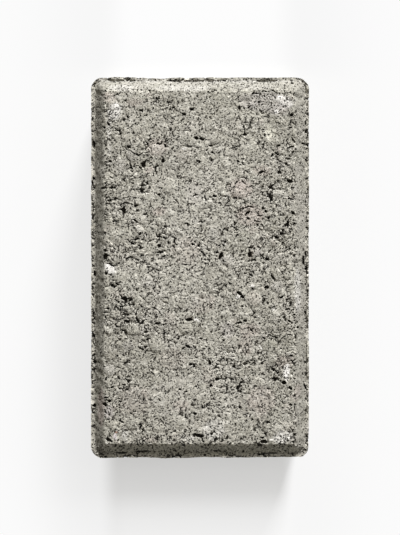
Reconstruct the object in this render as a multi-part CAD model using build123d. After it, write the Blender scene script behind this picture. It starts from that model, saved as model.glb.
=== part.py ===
"""A rectangular concrete paver: one dry-pressed block with a chamfered, open-textured wearing face.

Frame: +Z up, with the wearing face on top. The origin is the centre of the bed face, and the long side runs
along Y. All sizes are in millimetres.
"""

import os

from build123d import *

# Overall size of the block.
length = 210.0
width = 120.0
height = 60.0

# Upright corners, rounded by the mould.
corner_radius = 7.0

# The press shoe forms the chamfer. It is smaller than the mould, which leaves a narrow rim round the foot.
rim_width = 2.0
chamfer_width = 5.5
chamfer_height = 4.5
face_corner_radius = 1.5

# Mortar squeezed up round the shoe stands as a low burr on the rim: a flat crest outside, then a slope.
burr_height = 0.8
burr_crest_width = 0.7

# Voids that the press left in the wearing face. Each has an angular mouth and narrows to a share of it.
void_sides = 7
floor_share = 0.45
shallow = 1.1
deep = 1.6

# Cracks, where the mix tore as the shoe came off.
crack_depth = 1.1

# Levels and sizes that follow from the sizes above.
rim_level = height - chamfer_height
face_half_width = width / 2 - rim_width - chamfer_width
face_half_length = length / 2 - rim_width - chamfer_width

# The larger voids, from the far end of the face to the near one. First the place, where 1 is the edge of the
# face across and along. Then the length and breadth of the mouth, the turn of its long way from X, and the depth.
voids = [
    (-0.09, 0.89, 2.4, 1.4, 25, shallow),
    (0.41, 0.90, 2.4, 1.2, 90, shallow),
    (0.95, 0.86, 1.8, 1.7, 0, shallow),
    (-0.75, 0.85, 2.0, 1.1, -40, shallow),
    (-0.94, 0.80, 2.8, 1.1, -55, shallow),
    (-0.04, 0.73, 2.7, 1.8, -30, deep),
    (-0.36, 0.68, 2.4, 1.2, 100, shallow),
    (0.93, 0.68, 3.6, 1.1, 10, shallow),
    (0.81, 0.64, 2.6, 1.4, -25, deep),
    (-0.38, 0.60, 2.4, 1.8, 60, deep),
    (-0.01, 0.60, 2.4, 1.6, -30, deep),
    (-0.94, 0.60, 1.8, 1.2, -20, shallow),
    (0.39, 0.60, 1.8, 1.2, -30, shallow),
    (-0.72, 0.56, 2.1, 1.4, 0, deep),
    (0.64, 0.54, 2.8, 1.4, 15, deep),
    (0.93, 0.49, 3.0, 2.0, -20, deep),
    (-0.03, 0.46, 1.8, 1.1, 20, shallow),
    (-0.43, 0.41, 1.8, 1.4, 0, shallow),
    (0.21, 0.36, 1.8, 1.4, 0, shallow),
    (-0.67, 0.35, 2.8, 1.6, 15, deep),
    (0.50, 0.31, 3.2, 1.4, 40, deep),
    (0.94, 0.31, 2.8, 1.8, -35, deep),
    (0.72, 0.28, 1.8, 1.4, 0, shallow),
    (-0.88, 0.26, 4.0, 1.1, 5, shallow),
    (-0.14, 0.25, 2.6, 1.1, -20, shallow),
    (0.39, 0.18, 2.0, 1.1, 20, shallow),
    (0.80, 0.17, 2.4, 1.4, -30, shallow),
    (-0.10, 0.17, 1.7, 1.1, 0, shallow),
    (-0.66, 0.16, 3.2, 1.4, 15, deep),
    (-0.27, 0.12, 2.8, 1.1, -55, shallow),
    (-0.42, 0.09, 4.0, 1.6, 5, deep),
    (0.52, 0.075, 3.4, 2.2, 70, deep),
    (0.22, 0.07, 4.8, 2.0, 65, deep),
    (-0.96, 0.06, 3.6, 2.2, 80, deep),
    (0.70, 0.05, 2.6, 1.6, 0, deep),
    (-0.86, -0.09, 3.2, 1.1, -35, shallow),
    (0.27, -0.10, 2.2, 1.1, -40, shallow),
    (0.70, -0.11, 2.8, 1.6, 0, deep),
    (0.41, -0.14, 3.0, 2.0, -35, deep),
    (-0.78, -0.17, 4.0, 2.2, -15, deep),
    (0.85, -0.17, 2.8, 1.1, 25, shallow),
    (-0.96, -0.23, 2.0, 1.2, -30, shallow),
    (-0.115, -0.29, 3.8, 2.0, 0, deep),
    (-0.76, -0.30, 2.8, 1.6, -30, deep),
    (0.93, -0.30, 2.8, 1.1, -35, shallow),
    (-0.445, -0.31, 2.8, 1.2, 5, shallow),
    (0.41, -0.31, 2.8, 1.2, 0, shallow),
    (0.87, -0.39, 2.8, 1.1, 35, shallow),
    (0.67, -0.40, 1.9, 1.1, -45, shallow),
    (-0.125, -0.44, 3.2, 1.4, -30, shallow),
    (-0.61, -0.455, 3.4, 1.1, -30, shallow),
    (0.95, -0.49, 1.8, 1.4, 0, shallow),
    (0.105, -0.53, 2.6, 1.8, -70, deep),
    (0.49, -0.53, 2.2, 1.2, 0, shallow),
    (-0.495, -0.59, 3.2, 1.1, -40, shallow),
    (-0.85, -0.62, 2.4, 1.1, -35, shallow),
    (0.18, -0.625, 2.8, 2.0, 0, deep),
    (0.875, -0.645, 2.8, 2.0, -30, deep),
    (0.58, -0.665, 2.6, 1.1, 0, shallow),
    (0.33, -0.67, 3.4, 1.1, 32, shallow),
    (-0.06, -0.74, 1.8, 1.2, 0, shallow),
    (-0.42, -0.74, 2.0, 1.1, -65, shallow),
    (-0.94, -0.75, 2.4, 1.6, 0, deep),
    (0.94, -0.77, 1.8, 1.2, 0, shallow),
    (0.42, -0.785, 1.7, 1.2, -20, shallow),
    (-0.05, -0.82, 1.6, 1.4, 0, shallow),
    (-0.825, -0.86, 3.4, 1.1, -30, shallow),
    (0.665, -0.95, 4.0, 2.2, 0, deep),
    (-0.92, -0.95, 5.2, 2.4, -25, deep),
]

# The cracks: breadth, then the places that each one runs through, counted as for the voids.
cracks = [
    (0.9, [(-0.73, 0.66), (-0.685, 0.64), (-0.64, 0.633), (-0.595, 0.645), (-0.545, 0.646)]),
    (1.0, [(0.36, 0.47), (0.395, 0.49), (0.44, 0.492), (0.475, 0.47)]),
    (1.0, [(0.96, 0.29), (0.92, 0.27), (0.90, 0.24), (0.915, 0.218), (0.945, 0.196)]),
    (1.4, [(-0.10, -0.935), (-0.06, -0.933), (0.02, -0.948), (0.03, -0.972), (0.05, -0.997), (0.07, -1.047)]),
]


def outline(inset, radius):
    """The block's rounded outline, drawn in by an inset on every side."""
    return RectangleRounded(width - 2 * inset, length - 2 * inset, radius)


def at_level(sketch, level):
    """The sketch, lifted to a level above the bed face."""
    return Pos(0, 0, level) * sketch


def on_face(across, along):
    """A place on the wearing face, in millimetres from its middle."""
    return (across * face_half_width, along * face_half_length)


def make_body():
    """The block from its bed face up to the rim, with upright walls."""
    return extrude(outline(0, corner_radius), rim_level)


def make_head():
    """The raised wearing face with its four chamfers, which meet in mitres at the corners."""
    foot = at_level(outline(rim_width, corner_radius - rim_width), rim_level)
    face = at_level(outline(rim_width + chamfer_width, face_corner_radius), height)
    return loft([foot, face], ruled=True)


def make_burr():
    """The low burr round the rim: upright outside, and sloping in to the chamfer's foot."""
    ring = at_level(outline(0, corner_radius), rim_level)
    foot = at_level(outline(rim_width, corner_radius - rim_width), rim_level)
    crest = at_level(outline(burr_crest_width, corner_radius - burr_crest_width), rim_level + burr_height)
    return extrude(ring, burr_height) - loft([foot, crest], ruled=True)


def make_void(across, along, long_way, short_way, turn, depth):
    """The space of one void: an angular mouth that narrows to its floor."""
    x, y = on_face(across, along)
    mouth = scale(RegularPolygon(long_way / 2, void_sides), by=(1, short_way / long_way, 1))
    floor = scale(mouth, by=floor_share)
    space = loft([at_level(mouth, height), at_level(floor, height - depth)], ruled=True)
    return Pos(x, y, 0) * Rot(0, 0, turn) * space


def make_crack(breadth, route, block):
    """The space of one crack: a slot that follows its route, equally deep on the face and on the chamfer."""
    path = Polyline([on_face(*place) for place in route])
    slot = extrude(at_level(trace(path, breadth), rim_level - crack_depth), chamfer_height + crack_depth)
    return slot - Pos(0, 0, -crack_depth) * block


def make_paver():
    """The whole block, cast in one piece."""
    block = (make_body() + make_head() + make_burr()).clean()
    spaces = [make_void(*void) for void in voids]
    spaces += [make_crack(breadth, route, block) for breadth, route in cracks]
    return block - spaces


os.makedirs("parts", exist_ok=True)
paver = make_paver()
export_step(paver, "parts/paver.step")
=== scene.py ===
"""The finish of a dry-pressed concrete paver: one watertight skin with its sand, stones, pores and stains,
and shade and light painted on some edges and into the pits.

Frame: +Z up, wearing face on top, long side along Y. Relief is worked out in millimetres and made in metres.
"""

import collections
import itertools
import math

import bpy
import numpy as np
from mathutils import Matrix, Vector


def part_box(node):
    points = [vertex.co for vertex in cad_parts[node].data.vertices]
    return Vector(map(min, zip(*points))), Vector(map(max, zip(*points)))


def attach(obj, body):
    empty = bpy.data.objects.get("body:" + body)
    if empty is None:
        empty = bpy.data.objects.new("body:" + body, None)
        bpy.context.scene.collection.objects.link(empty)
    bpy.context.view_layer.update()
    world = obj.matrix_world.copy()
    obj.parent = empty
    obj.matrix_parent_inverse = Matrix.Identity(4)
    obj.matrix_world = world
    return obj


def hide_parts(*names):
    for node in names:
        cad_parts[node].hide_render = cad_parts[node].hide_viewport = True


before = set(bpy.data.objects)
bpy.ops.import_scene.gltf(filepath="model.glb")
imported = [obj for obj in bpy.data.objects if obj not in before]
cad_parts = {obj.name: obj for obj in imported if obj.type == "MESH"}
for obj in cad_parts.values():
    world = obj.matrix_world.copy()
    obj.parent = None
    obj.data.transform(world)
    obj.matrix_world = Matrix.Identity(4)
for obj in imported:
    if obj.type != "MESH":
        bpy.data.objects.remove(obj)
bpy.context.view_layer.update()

MM = 0.001

# Overall size of the block in millimetres, from the frame.
block_low, block_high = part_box("paver")
width = (block_high.x - block_low.x) / MM
length = (block_high.y - block_low.y) / MM
height = (block_high.z - block_low.z) / MM

# The head, as the press leaves it.
corner_radius = 7.0
rim_width = 2.0
chamfer_width = 5.5
chamfer_height = 4.5
burr_height = 0.8
burr_crest_width = 1.2
burr_foot_width = 1.5
rim_level = height - chamfer_height
burr_level = rim_level + burr_height
face_inset = rim_width + chamfer_width

# The lattice of points before it is thinned out. Both counts can be halved three times.
top_columns = 400
top_rows = 704
halvings = 3
most_triangles = 196_000

# How much further in the wearing face starts at the near and the far end, and how far from the end that
# begins and is whole.
near_end_setback = 0.75
far_end_setback = 0.15
setback_zone = (11.0, 8.5)

# How far down the walls the points settle to follow a broken rim, the most that the rim moves inwards, and
# the deepest hollow.
settling = 3.2
most_rim_shift = 0.12
deepest = 2.5

# How far from the block's upper and lower edges one side's relief goes over into the next one's.
edge_reach = 1.4
foot_reach = 1.8

# How far in the sides lie and how much they wander, everywhere and in addition at the block's two ends.
side_inset = 0.03
side_wander = 0.28
end_inset = 0.32
end_wander = 0.26

# How far the arris wanders inwards, over what length, and how much it is rounded.
arris_wander = 0.65
arris_wander_length = 5.0
arris_rounding = 0.15

# The burr stands where a noise is high: the noise's wavelength, and the values at which the burr begins and
# stands whole.
burr_stretch = 9.0
burr_limits = (-0.15, 0.55)

# The key light: where it stands round and above the paver in degrees, its distance and size in metres, and
# its strength. Then the world's light and the background that the camera sees.
key_azimuth = 15.5
key_elevation = 22
key_distance = 4.0
key_size = (0.9, 0.9)
key_strength = 2.15
sky_colour = (1, 0.955, 0.840, 1)
sky_strength = 0.23
background_strength = 0.97

# The greys of the floor and of its shadow, and the light that the camera sees in the shadow.
white = (1, 1, 1, 1)
floor_grey = (0.75, 0.75, 0.75, 1)
shadow_grey = (0.47, 0.47, 0.475, 1)
shadow_glow = 0.485

# The floor: its half length in metres, and how much of the shadow is left at distances in millimetres from
# the near end.
floor_reach = 4.0
shadow_fading = [
    (0, 1), (10, 0.97), (16, 0.90), (22, 0.86), (28, 0.80),
    (34, 0.62), (39, 0.48), (45, 0.38), (53, 0.31), (95, 0),
]

# Where the burr still stands on the far side of the head, from and to along X.
standing_burrs = [(-51.4, -35.4), (-17.8, 10.9), (30.8, 41.8)]

# The marks below were measured at the rim's scale in the photo. The face lies nearer and looks larger.
face_scale = 0.990
face_shift = (0.11, -0.38)

# What each part of the skin is like. cover: paste over the grains, and patches: how much that varies from
# place to place. depth: of the open pits. swell and lumps: of the rolls in the surface, whose sizes follow.
# grains: how far the grains stand out of the paste and lean. paleness: what its colour is multiplied by.
Finish = collections.namedtuple("Finish", "cover patches depth swell lumps grains paleness")
finishes = {
    "face": Finish(0.24, 0.12, 1.3, 0.09, 0.02, 1.0, 1.19),
    "chamfer": Finish(0.60, 0.15, 0.9, 0.06, 0.04, 0.15, 0.78),
    "rim": Finish(0.06, 0.15, 1.1, 0.06, 0.12, 0.5, 1.22),
    "wall": Finish(0.44, 0.11, 0.8, 0.03, 0.015, 0.12, 1.10),
    "bed": Finish(0.24, 0.10, 0.9, 0.02, 0.03, 0.3, 1.10),
}

# The wavelengths of the rolls, of the mottled cover, and of two slow changes in it.
swell_size = 9.0
lump_size = 2.6
mottle_size = 3.2
patch_size = 8.0
drift_size = 30.0

# The three sizes of grain. cell_size: the cells that hold at most one each. smallest and largest: their
# radii, counted in cells. share: of the cells that hold one. gap: of paste where two meet. lean: how unevenly
# they lie. bulge: how high they stand out of the paste.
Sort = collections.namedtuple("Sort", "cell_size smallest largest share gap lean bulge seed")
grain_sorts = [
    Sort(8.0, 0.30, 0.62, 0.55, 0.42, 0.30, 0.34, 101),
    Sort(3.7, 0.34, 0.64, 0.82, 0.42, 0.20, 0.26, 102),
    Sort(1.6, 0.34, 0.64, 0.96, 0.06, 0.04, 0.07, 103),
]

# How far in from its edge a grain rises, and how far the paste lies below the true face to leave it room.
bulge_reach = 0.8
grain_room = 0.40

# The cover of paste: over the larger grains, how much less over the fine ones, and how much it is mottled.
# Then how much thinner it is in some places, and the cover at which a pore begins and is whole.
paste_cover = 0.30
fine_grain_loss = 0.18
mottling = 0.28
thinner = {"arris": 0.24, "rough": 0.15, "near chamfer": 0.12, "rim": 0.26}
pore_edge = (0.03, -0.13)

# Upright marks that the mould drags down the walls: depth and breadth.
drag_depth = 0.03
drag_breadth = 1.8

# How far inside nothing at all is taken to lie, and the smallest length that counts.
far_outside = -9.0
hair = 1e-6

# How uneven the edges of the marks are: how far a point is moved to draw them, over what length, and a seed.
pit_edges = (0.2, 1.4, 201)
stone_edges = (0.6, 3.4, 261)
texture_edges = (3.0, 9.0, 281)
stain_and_shading_edges = (0.55, 2.6, 301)

# Where the face is rough and open, and where it is smooth with paste: place, half sizes, turn, and how much.
textures = [
    (-34, 17, 18, 13, 20, 1), (-40, -26, 14, 13, 90, 0.8), (43, 30, 22, 11, 90, 0.7),
    (22, 38, 12, 8, 0, 0.6), (44, -60, 20, 9, 90, 0.5), (16, -58, 11, 9, 0, 0.4), (-34, 62, 15, 8, 0, 0.4),
    (45, 62, 14, 8, 90, 0.5), (-20, -36, 12, 9, 0, 0.3), (-12, 14, 28, 9, 0, 0.5), (14, 42, 9, 8, 0, 0.5),
    (0, 28, 10, 7, 0, 0.4), (-44, -12, 7, 6, 90, -0.6), (16, -74, 10, 8, 0, -0.6),
    (-36, 82, 13, 9, 0, -0.9), (0, 88, 24, 8, 0, -0.6), (-10, 42, 11, 9, 60, -0.7),
    (-14, -2, 14, 10, 0, -0.6), (-18, -72, 22, 16, 0, -0.8), (30, -76, 14, 10, 0, -0.4),
    (10, -88, 16, 8, 0, -0.5), (22, -8, 12, 7, 0, -0.3), (2, 72, 10, 8, 0, -0.3),
]

# Colours of what shows in and on the paste.
# Blooms, and painted light on the near rim and chamfer, which lie in the key light's shadow, and on the far
# chamfer.
white_bloom_and_painted_light = (0.84, 0.82, 0.79)
cream_bloom_and_painted_light = (0.82, 0.80, 0.69)
lavender_stone = (0.62, 0.57, 0.58)
pale_stone = (0.46, 0.445, 0.385)
pink_stone = (0.58, 0.50, 0.47)
pink_paste = (0.47, 0.405, 0.37)
lavender_paste = (0.45, 0.415, 0.41)
brown_stone = (0.22, 0.165, 0.13)
olive_stone = (0.33, 0.325, 0.265)
grey_stone = (0.34, 0.33, 0.29)
red_grain = (0.42, 0.16, 0.10)
pale_wash = (0.56, 0.54, 0.485)
# Grime on the face, and painted shade on the left chamfer, the left rim and the near left corner.
grime_and_painted_shade = (0.10, 0.09, 0.07)
pale_sand = (0.72, 0.70, 0.64)
dark_sand = (0.12, 0.108, 0.078)
# Painted shade: the near-black that the open pores and the pinholes are blended into, for the shadow in them.
painted_pit_shade = (0.014, 0.0105, 0.0060)

# The paste drifts between olive and beige grey, and each larger grain has a tone, both read off a scale.
paste_tones = [(0.30, (0.383, 0.368, 0.315)), (0.50, (0.427, 0.410, 0.358)), (0.72, (0.462, 0.440, 0.394))]
grain_tones = [
    (0.00, (0.390, 0.374, 0.318)),
    (0.30, (0.490, 0.470, 0.408)),
    (0.48, (0.450, 0.404, 0.362)),
    (0.58, (0.360, 0.350, 0.302)),
    (0.74, (0.430, 0.410, 0.390)),
    (0.84, (0.300, 0.278, 0.232)),
    (0.92, (0.620, 0.600, 0.548)),
]

# Stones of these colours hide the paste. The others show through it.
bright_stones = (white_bloom_and_painted_light, red_grain, lavender_stone)
bright_stone_share = 0.85
dull_stone_share = 0.40

# Sizes of the sand in the material, and of the pinholes between it.
sand_size = 1.5
fines_size = 0.75
dust_size = 0.58
pinhole_size = 0.82

# Marks on the head, in millimetres from its middle: +X right and +Y up as the photo shows it.
# Pits: place, half length, half breadth, and the turn of the long way from +X in degrees where it isn't 0.
pits = [
    (-4.7, 88.1, 1.2, 0.7, 25), (-9.1, 85.5, 1.2, 0.7, -25), (-40.1, 84, 1, 0.5, -40),
    (-29.8, 84.7, 0.8, 0.5, 50), (-42.4, 82.2, 1, 0.5), (-44.6, 76.5, 0.7, 0.6), (-16.5, 77.3, 0.7, 0.6),
    (-2.2, 72.2, 1.3, 0.9, -30), (1, 71.5, 1.5, 0.8, -15), (-23, 69.1, 1.2, 0.6, -10),
    (-18.6, 70.3, 1.2, 0.5, 35), (-19.3, 67.8, 1.2, 0.6, 100), (-39.5, 67.3, 1.2, 0.6, -20),
    (-38.2, 55.5, 1, 0.7), (-20.5, 59.7, 1.2, 0.9, 60), (-0.7, 59.1, 1.2, 0.8, -30),
    (-27.7, 58.1, 1.1, 0.4, 30), (-33.2, 55.5, 1.3, 0.5, -50), (-14.8, 73.5, 0.8, 0.4, -50),
    (-53.1, 77.9, 0.7, 0.6), (-50.5, 79.6, 1.4, 0.5, -55), (-49.8, 59.5, 0.9, 0.6, -20),
    (-49, 50.2, 1.1, 0.4, -20), (-52.4, 47.1, 0.9, 0.5), (-53.9, 44.5, 1.2, 0.5, 20),
    (32.6, 91.7, 0.6, 0.6), (27.1, 89.3, 1, 0.4, 50), (21.6, 88.9, 1.2, 0.6, 90), (50.6, 84.8, 0.9, 0.9),
    (50.1, 82, 0.6, 0.5), (49.6, 77.9, 1, 0.4), (50.1, 67.1, 1.8, 0.5, 10), (51.2, 64.4, 1.1, 0.4),
    (48.5, 60.6, 1.6, 0.45, -10), (43.5, 67.8, 1.3, 0.5, 10), (42.6, 63.5, 1.3, 0.7, -25),
    (43.6, 59.5, 1.2, 0.4, -50), (5.8, 67.8, 1, 0.5), (6.8, 64, 1.1, 0.5, -20), (3.7, 65.4, 0.8, 0.35, 30),
    (16.3, 59.9, 0.7, 0.6), (20.8, 59.3, 0.9, 0.6, -30), (25.4, 53.8, 1.1, 0.5, -15),
    (33.9, 53.3, 1.4, 0.7, 15), (14.8, 46.2, 1.3, 0.5, 20), (49.5, 48.3, 1.5, 1, -20),
    (51.2, 44.5, 0.9, 0.5), (-35.5, 34.7, 1.4, 0.8, 15), (-41.8, 31.2, 0.8, 0.6),
    (-46.7, 26.2, 2, 0.45, 5), (-33.2, 19.2, 1, 0.6, 60), (-34.9, 16.2, 1.6, 0.7, 15),
    (-37.4, 13.8, 1.3, 0.6, -30), (-29.8, 18.5, 1, 0.4, 90), (-33.2, 11.3, 1.1, 0.6, 70),
    (-32.3, 7.4, 1, 0.45), (-22.6, 12.5, 1.1, 0.9, -60), (-22.2, 9.1, 2, 0.8, 5),
    (-22.2, 17.6, 1.2, 0.6, -30), (-19.7, 16.8, 1, 0.5, -50), (-17.6, 14.2, 0.8, 0.5, -40),
    (-14.6, 12, 1.4, 0.5, -55), (-20.1, 6.6, 1.2, 0.5, 30), (-4, 13.3, 1, 0.6), (-5.7, 17.1, 0.8, 0.5),
    (-8.7, 2.2, 1.6, 0.45, -5), (-52.4, 6.6, 1.9, 1.2, 80), (-50.9, 7.2, 1, 0.6), (-28.5, 0.7, 0.9, 0.4),
    (-23, -1, 2, 0.4, -12), (-45.9, -8.6, 1.6, 0.45, -35), (-53.7, 44.2, 1.3, 0.5, 15),
    (-50.5, 37.4, 1.1, 0.35, -15), (-52.4, 19.7, 0.7, 0.5), (-13.7, 37.8, 1.1, 0.5, -30),
    (-23, 40.8, 0.9, 0.7), (-21.4, 44.4, 0.6, 0.5), (-1.9, 46.1, 0.9, 0.5, 20), (-2.8, 40.8, 0.5, 0.5),
    (-7.4, 24.8, 1.3, 0.45, -20), (0.6, 26, 1.1, 0.5, -35), (2.8, 42.1, 0.5, 0.45), (7.9, 40, 1, 0.7, -40),
    (3.5, 38.1, 1.1, 0.4, -20), (10.9, 36.1, 0.9, 0.7), (19.1, 38.9, 1.4, 0.5), (21.9, 38.9, 0.7, 0.5),
    (49.7, 38.5, 1.5, 0.5, -10), (26.3, 30.9, 1.6, 0.7, 40), (26.3, 27.7, 1.2, 0.6, -35),
    (36.4, 31.5, 0.9, 0.6, -30), (37.9, 28.1, 0.9, 0.7), (45.3, 29.4, 1.3, 0.45),
    (51.4, 30.7, 1.4, 0.9, -35), (47.8, 24, 1.5, 0.9), (46.5, 19.2, 0.8, 0.4), (42.3, 17.1, 1.2, 0.7, -30),
    (20.8, 18.6, 1, 0.5, 20), (13.6, 14.6, 0.9, 0.7), (9.4, 8.9, 0.9, 0.5), (11.5, 7, 2.4, 1, 65),
    (13.1, 4.1, 1, 0.5, -30), (27.5, 11.7, 1.1, 0.4), (32.2, 11.7, 0.9, 0.4), (27.5, 7.8, 1.7, 1.1, 70),
    (36.9, 5.1, 1.3, 0.8), (28.4, -4, 1.1, 0.5, -40), (14, -9.7, 1.1, 0.4, -40),
    (11.9, -8.2, 0.8, 0.35, -40), (36.9, -10.3, 1.4, 0.8), (28.6, -11.4, 0.9, 0.5),
    (-41.4, -16.6, 1.7, 0.9, -15), (-51.3, -22.1, 1, 0.6, -30), (-52.6, -24.4, 0.9, 0.5),
    (-40.4, -29.3, 1.4, 0.8, -30), (-34.4, -28.8, 1.3, 0.4, -20), (-42.4, -34.5, 1.9, 0.45, -22),
    (-32.3, -21.2, 1.2, 0.4, -45), (-25.2, -22.1, 0.9, 0.5, -20), (-21.8, -25, 1.5, 0.4, -55),
    (-23.7, -30.3, 1.4, 0.6, 5), (-25.4, -32.7, 0.5, 0.5), (-29, -39.2, 1.1, 0.6, 15),
    (-38, -40.3, 0.45, 0.4), (-32.3, -44.5, 1.7, 0.5, -30), (-6.2, -28.4, 1.9, 1), (0.4, -38.8, 0.8, 0.5),
    (-11.7, -38.8, 0.9, 0.4, 40), (-6.8, -43.2, 1.6, 0.7, -30), (-42.4, -48.3, 0.5, 0.5),
    (-45.9, -48.4, 0.7, 0.4, 90), (-40, -51.3, 0.6, 0.4), (-45, -60.8, 1.2, 0.5, -35),
    (-40.1, -60.1, 1.3, 0.4), (-26.4, -58, 1.6, 0.35, -40), (-42.1, -64.4, 0.9, 0.5),
    (-48.8, -65.9, 1.1, 0.5, 20), (-52.2, -71.5, 1.3, 0.5), (-50.1, -73.3, 1.2, 0.8),
    (-52.6, -75.4, 1.5, 0.9, -25), (-3.2, -72.8, 0.9, 0.6), (-11.2, -66.9, 0.9, 0.5),
    (-7.8, -68.2, 0.9, 0.35, 20), (-22.4, -72.8, 1, 0.4, -65), (-19.3, -69.2, 0.5, 0.5),
    (-2.3, -65.4, 0.6, 0.5), (21.6, -13.6, 1.5, 1, -35), (23.3, -15.7, 1.3, 0.9, -50),
    (44.9, -16, 1.4, 0.5, 25), (16.6, -20.6, 0.5, 0.5), (10.7, -20.8, 0.5, 0.4), (23.1, -21, 0.5, 0.5),
    (40.6, -21.2, 0.7, 0.6), (21.6, -30.1, 1.4, 0.6), (24.7, -29.1, 0.9, 0.8),
    (28.4, -34.4, 1.2, 0.5, -50), (33, -30.3, 0.5, 0.5), (30.5, -27.1, 0.9, 0.35),
    (9.8, -30.9, 1, 0.4, -40), (47, -28.4, 0.8, 0.5), (49.5, -29.3, 1.4, 0.4, -35),
    (53.9, -32.7, 0.5, 0.5), (35.3, -38.6, 0.9, 0.5, -45), (46.1, -38.1, 1.4, 0.4, 35),
    (49.1, -36.5, 1.1, 0.4), (13, -39.6, 0.8, 0.6), (5.1, -44.5, 0.6, 0.5), (18.3, -43.9, 0.9, 0.4, -40),
    (44.9, -44.3, 0.7, 0.5), (50.3, -48.3, 0.9, 0.7), (8.6, -48.3, 0.9, 0.35, -20),
    (5.4, -52.1, 1.3, 0.9, -70), (9.6, -51.1, 0.6, 0.5), (26.1, -51.4, 1.1, 0.6), (34.1, -52.3, 0.9, 0.5),
    (41.9, -61, 1.2, 0.6, -15), (46.3, -63.1, 1.4, 1, -30), (49.9, -66.2, 1.4, 0.8, -30),
    (9.4, -61.1, 1.4, 1), (5.8, -64.8, 1, 0.9), (17.4, -65.6, 1.3, 0.4, 32), (30.5, -65.2, 1.3, 0.4),
    (52.9, -71.9, 0.8, 0.4), (-31.1, -93.2, 0.5, 0.5), (-31.6, -95.4, 0.6, 0.5), (-18, -94.6, 0.6, 0.5),
    (-43.9, -84.5, 1.7, 0.5, -30), (-38.3, -80.2, 1.3, 0.4, -35), (-26.4, -79, 0.6, 0.4),
    (-17.1, -78.7, 0.9, 0.35), (-2.8, -80.4, 0.8, 0.7), (-33.4, -86.4, 0.5, 0.4),
    (12.3, -95.5, 1.1, 0.5, 30), (35.2, -95.9, 2, 1.1), (34.3, -93.7, 1.3, 0.5),
    (50.8, -89.1, 1, 0.5, -25), (22, -76.9, 0.8, 0.6, -20), (-0.4, -92.6, 2.3, 1.1, -12),
    (26.7, -75.1, 1.1, 0.4, -45), (13, -76.9, 1, 0.35, 25), (49.9, -75.6, 0.9, 0.6),
    (-50.4, -95, 2.3, 0.8, -27),
]

# Holes in the rim, open to the walls, with the same numbers.
rim_holes = [
    (-59.5, 88.7, 0.8, 0.4, 90), (-59.3, 69, 2, 0.8, 95), (-59.2, 50, 0.9, 0.8, 90),
    (-58.9, 45, 0.7, 0.5, 90), (-58.6, -2.7, 1.5, 0.9, 90), (-59, -8.6, 0.8, 0.4, 90),
    (-59.2, -37.3, 1.2, 0.7, 90), (-58.7, -51.9, 0.9, 0.9), (-58.7, -55.9, 0.8, 0.5),
    (-58.9, -76.2, 1.1, 1, 90), (58.6, 80.9, 1.2, 0.4, 90), (58.6, 76.2, 0.8, 0.4, 90),
    (57.4, 69.4, 0.8, 0.6), (58.6, 60.6, 0.8, 0.4, 90), (57.4, 4.5, 2.8, 0.6, 90), (59, -0.2, 0.8, 0.8),
    (58.6, -24.6, 0.9, 0.8, 90), (58.2, -65.6, 1.9, 0.6, -65), (58.6, -72.7, 0.6, 0.5),
    (58.2, -52.1, 0.9, 0.5, 20), (33.5, -103.4, 2.2, 0.5), (2.6, -104.3, 0.8, 0.7, 90),
    (-12, -104.2, 1.2, 0.4), (58.5, 37, 0.9, 0.4, 90),
]

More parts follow.
